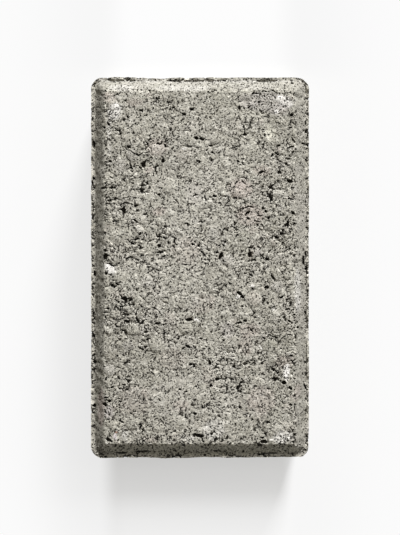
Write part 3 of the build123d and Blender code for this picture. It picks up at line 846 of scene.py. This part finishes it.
def wandering_sides(points, outward):
    """How far the block's sides wander inwards, most at its two ends and least at its corners."""
    waves = layered_noise(points * np.array([1, 1, 0.15]), 13.0, 91, 3, 0.55)
    at_ends = np.abs(outward[:, 1]) * (end_inset + end_wander * waves)
    waves = side_inset + side_wander * waves + at_ends
    waves *= 1 - 0.8 * smoothstep(0.3, 0.8, 2 * np.abs(outward[:, 0] * outward[:, 1]))
    return np.maximum(waves, 0)


def push_in(points, inset, outward, sunk, edge_sunk):
    """The points moved into the block: down on the head, inwards on the walls, and both near the rim."""
    below_top = np.where(inset > 0, 0, burr_level - points[:, 2])
    on_wall = (inset <= hair) & (points[:, 2] > hair) & (below_top > hair)
    on_head = (points[:, 2] > rim_level - hair) & ~on_wall
    on_bed = ~on_wall & ~on_head

    rim_shift = np.clip(0.4 * (edge_sunk - 0.9), 0, most_rim_shift)
    settled = smoothstep(0.0, edge_reach, below_top)
    at_edge = smoothstep(edge_reach, 0.0, inset)
    side = np.where(on_wall, settled * sunk + (1 - settled) * rim_shift, at_edge * rim_shift)
    side = np.where(on_bed, at_edge * sunk, side)
    wall_share = 1 - 0.82 * smoothstep(0.5, 5.0, below_top)
    head_share = smoothstep(3.0, 0.0, inset)
    bed_share = 0.28 * head_share
    share = np.where(on_head, head_share, np.where(on_bed, bed_share, wall_share))
    side += share * wandering_sides(points, outward)

    down = np.where(on_wall, edge_sunk * np.clip(1 - below_top / settling, 0, 1), 0)
    at_foot = smoothstep(foot_reach, 0.0, points[:, 2])
    foot_share = np.where(on_bed, 0.4 + 0.6 * smoothstep(0, 1, inset), 0.4)
    down = np.where(on_head, sunk, down - at_foot * sunk * foot_share)
    moved = points.copy()
    moved[:, :2] -= outward * side[:, None]
    moved[:, 2] -= down
    return moved


def build_mesh(name, points, quads, triangles):
    """A mesh in metres from points in millimetres."""
    mesh = bpy.data.meshes.new(name)
    mesh.vertices.add(len(points))
    mesh.vertices.foreach_set("co", (points * MM).astype(np.float32).ravel())
    corners = np.concatenate([quads.ravel(), triangles.ravel()]).astype(np.int32)
    mesh.loops.add(len(corners))
    mesh.loops.foreach_set("vertex_index", corners)
    sizes = np.concatenate([np.full(len(quads), 4), np.full(len(triangles), 3)])
    mesh.polygons.add(len(sizes))
    mesh.polygons.foreach_set("loop_start", (np.cumsum(sizes) - sizes).astype(np.int32))
    mesh.update(calc_edges=True)
    mesh.validate()
    return mesh


def store(mesh, name, values):
    """Keeps one number for each point, for the material to read."""
    layer = mesh.attributes.new(name, "FLOAT", "POINT")
    layer.data.foreach_set("value", np.asarray(values, np.float32))


def read_points(mesh):
    """The mesh's points in millimetres."""
    flat = np.empty(len(mesh.vertices) * 3, np.float32)
    mesh.vertices.foreach_get("co", flat)
    return flat.reshape(-1, 3).astype(float) / MM


def thin_out(thing):
    """Merges triangles where the surface is flat, down to the limit, and stays in the block's box."""
    thing.data.calc_loop_triangles()
    modifier = thing.modifiers.new("thin_out", "DECIMATE")
    modifier.ratio = most_triangles / len(thing.data.loop_triangles)
    modifier.use_collapse_triangulate = True
    graph = bpy.context.evaluated_depsgraph_get()
    thinned = bpy.data.meshes.new_from_object(thing.evaluated_get(graph))
    thing.modifiers.clear()
    rough, thing.data = thing.data, thinned
    bpy.data.meshes.remove(rough)
    thinned.name = "paver_skin"
    half = np.array([width / 2, length / 2, 0])
    kept = np.clip(read_points(thinned), -half, half + np.array([0, 0, height]))
    thinned.vertices.foreach_set("co", (kept * MM * (1 - 1e-7)).astype(np.float32).ravel())


def paint_stains_and_shading(mesh):
    """Lays the stains, with the painted shade and light among them, and the stones' colours over each other.
    The fourth number is how much they cover.
    """
    points = read_points(mesh)
    plan = measured(points, *stain_and_shading_edges)
    layer = np.zeros((len(points), 4))
    head = points[:, 2] > rim_level - 2.0
    for *oval, strength, colour in stains_and_painted_shading:
        near, depth = inside_oval(plan, *oval)
        share = strength * smoothstep(-0.9, 1.2, depth)[:, None] * head[near, None]
        layer[near] = layer[near] * (1 - share) + share * np.array([*colour, 1])
    plan = measured(points, *stone_edges)
    for *oval, _, colour, _ in with_joints(stones):
        near, depth = inside_oval(plan, *oval)
        share = bright_stone_share if colour in bright_stones else dull_stone_share
        share = share * smoothstep(-0.1, 0.35, depth)[:, None] * head[near, None]
        layer[near] = layer[near] * (1 - share) + share * np.array([*colour, 1])
    attribute = mesh.attributes.new("stain_and_painted_shading", "FLOAT_COLOR", "POINT")
    attribute.data.foreach_set("color", layer.astype(np.float32).ravel())


def lay_out_map(mesh):
    """Lays the six sides out flat in one map, each at the same scale."""
    points = read_points(mesh)
    corners = np.empty(len(mesh.loops), np.int32)
    mesh.loops.foreach_get("vertex_index", corners)
    corners = corners.reshape(-1, 3)
    walls = np.empty(len(points), np.float32)
    mesh.attributes["wall"].data.foreach_get("value", walls)
    middle = points[corners].mean(axis=1)
    on_wall = walls[corners].mean(axis=1) > 0.5
    beyond = np.abs(middle[:, :2]) - np.array([width, length]) / 2
    to_side = beyond[:, 0] > beyond[:, 1]
    x, y, z = np.moveaxis(points[corners], 2, 0)
    x, y = x + width / 2, y + length / 2
    gap = 2.0
    second, third, fourth = width + gap, 2 * (width + gap), 2 * (width + gap) + height + gap
    above = length + gap
    charts = [
        (~on_wall & (middle[:, 2] > height / 2), x, y),
        (~on_wall & (middle[:, 2] <= height / 2), second + width - x, y),
        (on_wall & to_side & (middle[:, 0] > 0), third + z, y),
        (on_wall & to_side & (middle[:, 0] <= 0), fourth + z, length - y),
        (on_wall & ~to_side & (middle[:, 1] > 0), width - x, above + z),
        (on_wall & ~to_side & (middle[:, 1] <= 0), second + x, above + z),
    ]
    places = np.zeros((*corners.shape, 2))
    for chosen, across, up in charts:
        places[chosen] = np.stack([across, up], axis=2)[chosen]
    whole = fourth + height + 2 * gap
    layer = mesh.uv_layers.new(name="OFBake")
    layer.uv.foreach_set("vector", ((places + gap) / whole).astype(np.float32).ravel())


def make_skin():
    """The paver's skin, with its relief."""
    points, inset, outward, wall, quads, triangles = plain_block()
    found = relief(points, inset)
    sunk = found.pop("sunk")
    near_top = (wall > 0) & (points[:, 2] > burr_level - settling)
    lifted = points[near_top].copy()
    lifted[:, 2] = burr_level
    edge_sunk = sunk.copy()
    edge_sunk[near_top] = relief(lifted, inset[near_top])["sunk"]
    edge_sunk = np.minimum(edge_sunk, 0.8 * settling)
    moved = push_in(points, inset, outward, np.minimum(sunk, deepest), edge_sunk)
    mesh = build_mesh("paver_skin", moved, quads, triangles)
    for name, values in found.items():
        store(mesh, name, values)
    store(mesh, "wall", wall)
    skin = bpy.data.objects.new("paver_skin", mesh)
    bpy.context.scene.collection.objects.link(skin)
    thin_out(skin)
    paint_stains_and_shading(skin.data)
    lay_out_map(skin.data)
    skin.data.shade_smooth()
    skin.data.set_sharp_from_angle(angle=math.radians(38))
    return skin


Cells = collections.namedtuple("Cells", "away tone facet")


class Nodes:
    """A node tree, with short calls that add nodes and return their outputs.

    An input is a number, a colour or an output of another node.
    """

    def __init__(self, tree):
        self.tree = tree

    def add(self, kind, inputs=None, **settings):
        node = self.tree.nodes.new(kind)
        for name, value in settings.items():
            setattr(node, name, value)
        for name, value in (inputs or {}).items():
            self.feed(node.inputs[name], value)
        return node

    def feed(self, socket, value):
        if isinstance(value, bpy.types.NodeSocket):
            self.tree.links.new(value, socket)
        else:
            socket.default_value = value

    def operate(self, kind, how, values, output=0):
        node = self.add(kind, operation=how)
        for socket, value in zip(node.inputs, values):
            self.feed(socket, value)
        return node.outputs[output]

    def math(self, how, *values):
        return self.operate("ShaderNodeMath", how, values)

    def times(self, first, second):
        return self.math("MULTIPLY", first, second)

    def larger(self, first, second):
        return self.math("MAXIMUM", first, second)

    def plus(self, level, value, factor):
        """A level with a value added, times a factor."""
        return self.math("MULTIPLY_ADD", value, factor, level)

    def vector(self, how, *values, output=0):
        return self.operate("ShaderNodeVectorMath", how, values, output)

    def scaled(self, colour, factor):
        node = self.add("ShaderNodeVectorMath", {"Scale": factor}, operation="SCALE")
        self.feed(node.inputs[0], colour)
        return node.outputs[0]

    def blend(self, share, low, high):
        """Two colours blended."""
        node = self.add("ShaderNodeMix", data_type="RGBA")
        for socket, value in ((0, share), (6, low), (7, high)):
            self.feed(node.inputs[socket], (*value, 1) if isinstance(value, tuple) else value)
        return node.outputs[2]

    def span(self, value, from_low, from_high, to_low=0.0, to_high=1.0, smooth=True):
        """A value moved from one range to another and held inside it."""
        node = self.add("ShaderNodeMapRange", interpolation_type="SMOOTHSTEP" if smooth else "LINEAR")
        for socket, number in zip(node.inputs, (value, from_low, from_high, to_low, to_high)):
            self.feed(socket, number)
        return node.outputs[0]

    def attribute(self, name, output="Fac"):
        return self.add("ShaderNodeAttribute", attribute_name=name).outputs[output]

    def noise(self, place, wavelength, detail=2.0, roughness=0.5, output="Fac"):
        inputs = {"Vector": place, "Scale": 1 / wavelength, "Detail": detail, "Roughness": roughness}
        return self.add("ShaderNodeTexNoise", inputs).outputs[output]

    def cells(self, place, size):
        """Each place's distance from the nearest cell's middle, that cell's tone, and its facet's height."""
        node = self.add("ShaderNodeTexVoronoi", {"Vector": place, "Scale": 1 / size})
        tone = self.add("ShaderNodeSeparateColor", {"Color": node.outputs["Color"]}).outputs[0]
        lean = self.vector("SUBTRACT", node.outputs["Color"], (0.5, 0.5, 0.5))
        away = self.vector("SUBTRACT", place, node.outputs["Position"])
        return Cells(node.outputs["Distance"], tone, self.vector("DOT_PRODUCT", lean, away, output="Value"))

    def ramp(self, value, stops, steps=False):
        """A colour read off a scale, whose stops are (place, colour)."""
        node = self.add("ShaderNodeValToRGB", {"Fac": value})
        scale = node.color_ramp
        scale.interpolation = "CONSTANT" if steps else "LINEAR"
        while len(scale.elements) < len(stops):
            scale.elements.new(1.0)
        for element, (place, colour) in zip(scale.elements, stops):
            element.position = place
            element.color = (*colour, 1)
        return node.outputs["Color"]


def pinholes(n, uneven, bare, sand, fines):
    """Where sand is missing or a pinhole opens: more where the paste is thin, and between the stones."""
    between = n.span(n.attribute("stone"), 0.2, 0.9, 1.25, 0.30, False)
    dashes = n.noise(uneven, pinhole_size, 0.5, 0.5)
    limit = n.math("MULTIPLY_ADD", n.times(bare, between), -0.055, 0.659)
    hole = n.span(n.math("SUBTRACT", dashes, limit), -0.004, 0.012)
    missing_fines = n.times(n.span(fines.tone, 0.055, 0.050), n.span(fines.away, 0.62, 0.52))
    missing_sand = n.times(n.span(sand.tone, 0.032, 0.028), n.span(sand.away, 0.46, 0.38))
    missing = n.times(n.larger(missing_fines, missing_sand), n.span(bare, 0.35, 0.8))
    return n.larger(hole, missing)


def sand_level(n, uneven, bare, hole, sand, fines, dust):
    """The height of the sand in millimetres: low domes and leaning facets under the paste, with the holes."""
    level = n.times(n.span(sand.away, 0.30, 0.80, 1.0, 0.0), 0.05)
    level = n.plus(level, n.span(fines.away, 0.2, 0.75, 1.0, 0.0), 0.03)
    level = n.plus(level, sand.facet, 0.15)
    level = n.plus(level, fines.facet, 0.15)
    level = n.plus(level, n.noise(uneven, 1.9, 1.0, 0.6), 0.05)
    level = n.plus(level, dust.facet, 0.50)
    return n.plus(n.times(level, bare), hole, -0.75)


def concrete_colour(n, place, rough, hole, sand, fines, dust):
    """Paste, then stones, stains with painted shade and painted light among them, pale and dark sand,
    speckle, and painted shade in pits and pinholes.
    """
    covered = n.attribute("stain_and_painted_shading", "Alpha")
    colour = n.ramp(n.noise(place, 16.0, 3.0, 0.6), paste_tones)
    tones = n.ramp(n.attribute("tone"), grain_tones, steps=True)
    colour = n.blend(n.times(n.attribute("stone"), 0.4), colour, tones)
    # The stains go over the paste, and with them the painted shade and painted light.
    colour = n.scaled(colour, n.math("SUBTRACT", 1.0, covered))
    colour = n.vector("ADD", colour, n.attribute("stain_and_painted_shading", "Color"))
    colour = n.scaled(colour, n.attribute("paleness"))
    lighter = n.times(n.span(sand.tone, 0.62, 1.0), 0.34)
    lighter = n.larger(lighter, n.times(n.span(fines.tone, 0.70, 0.95), 0.46))
    colour = n.blend(n.times(lighter, rough), colour, pale_sand)
    darker = n.times(n.span(sand.tone, 0.38, 0.0), 0.24)
    darker = n.larger(darker, n.times(n.span(fines.tone, 0.30, 0.05), 0.20))
    colour = n.blend(n.times(darker, rough), colour, dark_sand)
    speckle = n.times(n.math("SUBTRACT", dust.tone, 0.5), n.times(rough, 0.72))
    colour = n.scaled(colour, n.math("ADD", speckle, 1.0))
    # Painted shade: open pores and pinholes are blended almost to black, for the shadow and occlusion in
    # them.
    shade = n.larger(n.times(n.attribute("painted_cavity_shade"), 0.96), n.times(hole, 0.97))
    return n.blend(shade, colour, painted_pit_shade)


def concrete_material():
    """Sand, cement and stone, all drawn in the block's own millimetres."""
    material = bpy.data.materials.new("concrete")
    material.use_nodes = True
    shader = material.node_tree.nodes["Principled BSDF"]
    n = Nodes(material.node_tree)
    place = n.add("ShaderNodeTexCoord").outputs["Object"]
    place = n.add("ShaderNodeMapping", {"Vector": place, "Scale": (1 / MM,) * 3}).outputs[0]
    nudge = n.vector("SUBTRACT", n.noise(place, 1.1, 1.0, output="Color"), (0.5, 0.5, 0.5))
    uneven = n.vector("MULTIPLY_ADD", nudge, (0.9, 0.9, 0.9), place)

    # Sand shows less on smooth paste and under stains and painted shading, and more where the surface is
    # patchy and open.
    rough = n.math("SUBTRACT", 1.0, n.times(n.attribute("smooth"), 0.5))
    rough = n.times(rough, n.span(n.attribute("stain_and_painted_shading", "Alpha"), 0.4, 1.0, 1.0, 0.55, False))
    bare = n.times(rough, n.span(n.attribute("patchy"), 0.0, 1.0, 1.3, 0.6, False))
    sand = n.cells(uneven, sand_size)
    fines = n.cells(uneven, fines_size)
    dust = n.cells(place, dust_size)

    hole = pinholes(n, uneven, bare, sand, fines)
    level = sand_level(n, uneven, bare, hole, sand, fines, dust)
    bump = n.add("ShaderNodeBump", {"Height": level, "Strength": 1.0, "Distance": MM})
    n.feed(shader.inputs["Normal"], bump.outputs[0])
    n.feed(shader.inputs["Base Color"], concrete_colour(n, place, rough, hole, sand, fines, dust))
    n.feed(shader.inputs["Roughness"], n.span(n.noise(place, 0.55, 0.0), 0.3, 0.7, 0.82, 0.96, False))
    shader.inputs["Specular IOR Level"].default_value = 0.3
    return material


def add_camera():
    """Looks straight down on the wearing face, with the long side upright in the picture."""
    data = bpy.data.cameras.new("camera")
    data.lens = 85
    data.sensor_width = 36
    picture_height = 292.6 * MM
    distance = picture_height * data.lens / data.sensor_width
    camera = bpy.data.objects.new("camera", data)
    camera.location = (0, 0.0001, height * MM + distance)
    data.clip_end = 20
    bpy.context.scene.collection.objects.link(camera)
    bpy.context.scene.camera = camera


def add_area_light(name, azimuth, elevation, distance, size, strength):
    """A soft square light that faces the paver. Azimuth 0 is over +Y, the picture's top, and 90 over +X."""
    data = bpy.data.lights.new(name, "AREA")
    data.shape = "RECTANGLE"
    data.size, data.size_y = size
    turn, rise = math.radians(azimuth), math.radians(elevation)
    away = Vector((math.sin(turn) * math.cos(rise), math.cos(turn) * math.cos(rise), math.sin(rise)))
    data.energy = strength * math.pi * distance**2 * math.pi
    light = bpy.data.objects.new(name, data)
    light.location = away * distance
    light.rotation_euler = away.to_track_quat("Z", "Y").to_euler()
    bpy.context.scene.collection.objects.link(light)


def add_world():
    """A dim even light, and the white background that the camera, mirrors and glass see."""
    world = bpy.data.worlds.new("studio")
    bpy.context.scene.world = world
    world.use_nodes = True
    n = Nodes(world.node_tree)
    n.tree.nodes.clear()
    seen = n.add("ShaderNodeBackground", {"Color": white, "Strength": background_strength})
    light = n.add("ShaderNodeBackground", {"Color": sky_colour, "Strength": sky_strength})
    path = n.add("ShaderNodeLightPath").outputs
    direct = n.larger(n.larger(path["Is Camera Ray"], path["Is Glossy Ray"]), path["Is Transmission Ray"])
    mix = n.add("ShaderNodeMixShader", {"Fac": direct})
    n.feed(mix.inputs[1], light.outputs[0])
    n.feed(mix.inputs[2], seen.outputs[0])
    n.add("ShaderNodeOutputWorld", {"Surface": mix.outputs[0]})


def shadow_place(n):
    """How much of its shadow the floor keeps, fading with distance, and the distance beside the block."""
    axes = n.add("ShaderNodeSeparateXYZ", {"Vector": n.add("ShaderNodeTexCoord").outputs["Object"]}).outputs
    beside = n.math("SUBTRACT", n.math("ABSOLUTE", axes["X"]), width / 2 * MM)
    before = n.math("SUBTRACT", n.times(axes["Y"], -1.0), length / 2 * MM)
    behind = n.span(axes["Y"], length / 2 * MM, length / 2 * MM + 0.02, 1.0, 0.0)
    stops = [(away / shadow_fading[-1][0], (share,) * 3) for away, share in shadow_fading]
    before_share = n.ramp(n.math("DIVIDE", before, shadow_fading[-1][0] * MM), stops)
    beside_share = n.span(beside, -0.012, 0.001, 1.0, 0.36)
    beside_share = n.times(beside_share, n.span(beside, 0.0, 0.05, 1.0, 0.3))
    return n.times(n.times(beside_share, before_share), behind), beside


def add_floor():
    """A plain pale floor. The camera sees it white, with the paver's shadow on it fading with distance, and a
    painted contact shadow beside the block's long sides.
    """
    mesh = bpy.data.meshes.new("floor")
    corners = [(-floor_reach, -floor_reach, 0), (floor_reach, -floor_reach, 0)]
    corners += [(floor_reach, floor_reach, 0), (-floor_reach, floor_reach, 0)]
    mesh.from_pydata(corners, [], [(0, 1, 2, 3)])
    floor = bpy.data.objects.new("floor", mesh)
    bpy.context.scene.collection.objects.link(floor)
    material = bpy.data.materials.new("pale_floor")
    material.use_nodes = True
    n = Nodes(material.node_tree)
    n.tree.nodes.clear()
    shadow_share, beside = shadow_place(n)
    plain = n.add("ShaderNodeBsdfDiffuse", {"Color": floor_grey}).outputs[0]
    shade = n.add("ShaderNodeBsdfDiffuse", {"Color": shadow_grey}).outputs[0]
    glow = n.add("ShaderNodeEmission", {"Color": white, "Strength": shadow_glow}).outputs[0]
    # Painted shadow: the white beside the block's sides is a little darker and lightens away from them; in
    # line with the block it is a little brighter.
    near = n.math("ADD", n.span(beside, 0.0, 0.06, 0.93, 0.965), n.span(beside, -0.020, 0.0, 0.05, 0.0))
    open_floor_with_painted_shadow = n.add("ShaderNodeEmission", {"Color": white, "Strength": near}).outputs[0]
    lit = n.add("ShaderNodeAddShader")
    n.feed(lit.inputs[0], shade)
    n.feed(lit.inputs[1], glow)
    faded = n.add("ShaderNodeMixShader", {"Fac": shadow_share})
    n.feed(faded.inputs[1], open_floor_with_painted_shadow)
    n.feed(faded.inputs[2], lit.outputs[0])
    seen = n.add("ShaderNodeMixShader", {"Fac": n.add("ShaderNodeLightPath").outputs["Is Camera Ray"]})
    n.feed(seen.inputs[1], plain)
    n.feed(seen.inputs[2], faded.outputs[0])
    n.add("ShaderNodeOutputMaterial", {"Surface": seen.outputs[0]})
    mesh.materials.append(material)


skin = make_skin()
skin.data.materials.clear()
skin.data.materials.append(concrete_material())
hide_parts("paver")
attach(skin, "root")

add_floor()
add_world()
add_area_light("key", key_azimuth, key_elevation, key_distance, key_size, key_strength)
add_camera()
bpy.context.scene.view_settings.view_transform = "Standard"
